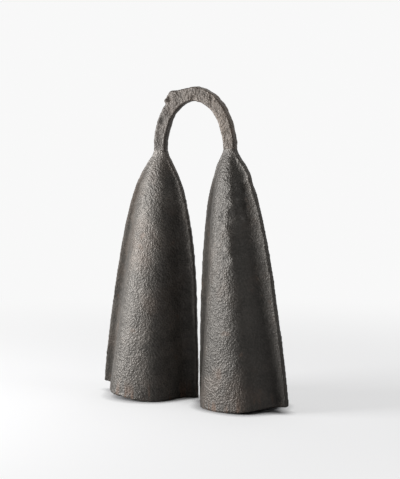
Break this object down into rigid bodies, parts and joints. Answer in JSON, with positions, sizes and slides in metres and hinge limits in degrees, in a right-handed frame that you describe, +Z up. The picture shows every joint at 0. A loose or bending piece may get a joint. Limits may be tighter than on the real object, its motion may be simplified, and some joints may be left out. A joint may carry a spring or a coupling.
{
  "type": "agogo bell",
  "caption": "Forged iron clapperless bells with welded side flanges, joined by an arched strap handle, standing on their mouths and struck with a stick.",
  "frame": {"origin": "on the floor under the middle of the whole pair's bounding box", "axes": "+Z up, from the mouths to the handle; +X from the left bell to the right bell; the front shells face -Y"},
  "size_m": [0.2684, 0.0999, 0.3863],
  "materials": {
    "bell_iron": "dark forged iron, pebbly and satin",
    "handle_iron": "worn brown-grey forged iron"
  },
  "bodies": {
    "root": {"left_bell_front_shell": "bell_iron", "left_bell_back_shell": "bell_iron", "right_bell_front_shell": "bell_iron", "right_bell_back_shell": "bell_iron", "left_handle_strap": "handle_iron", "right_handle_strap": "handle_iron"}
  },
  "joints": []
}
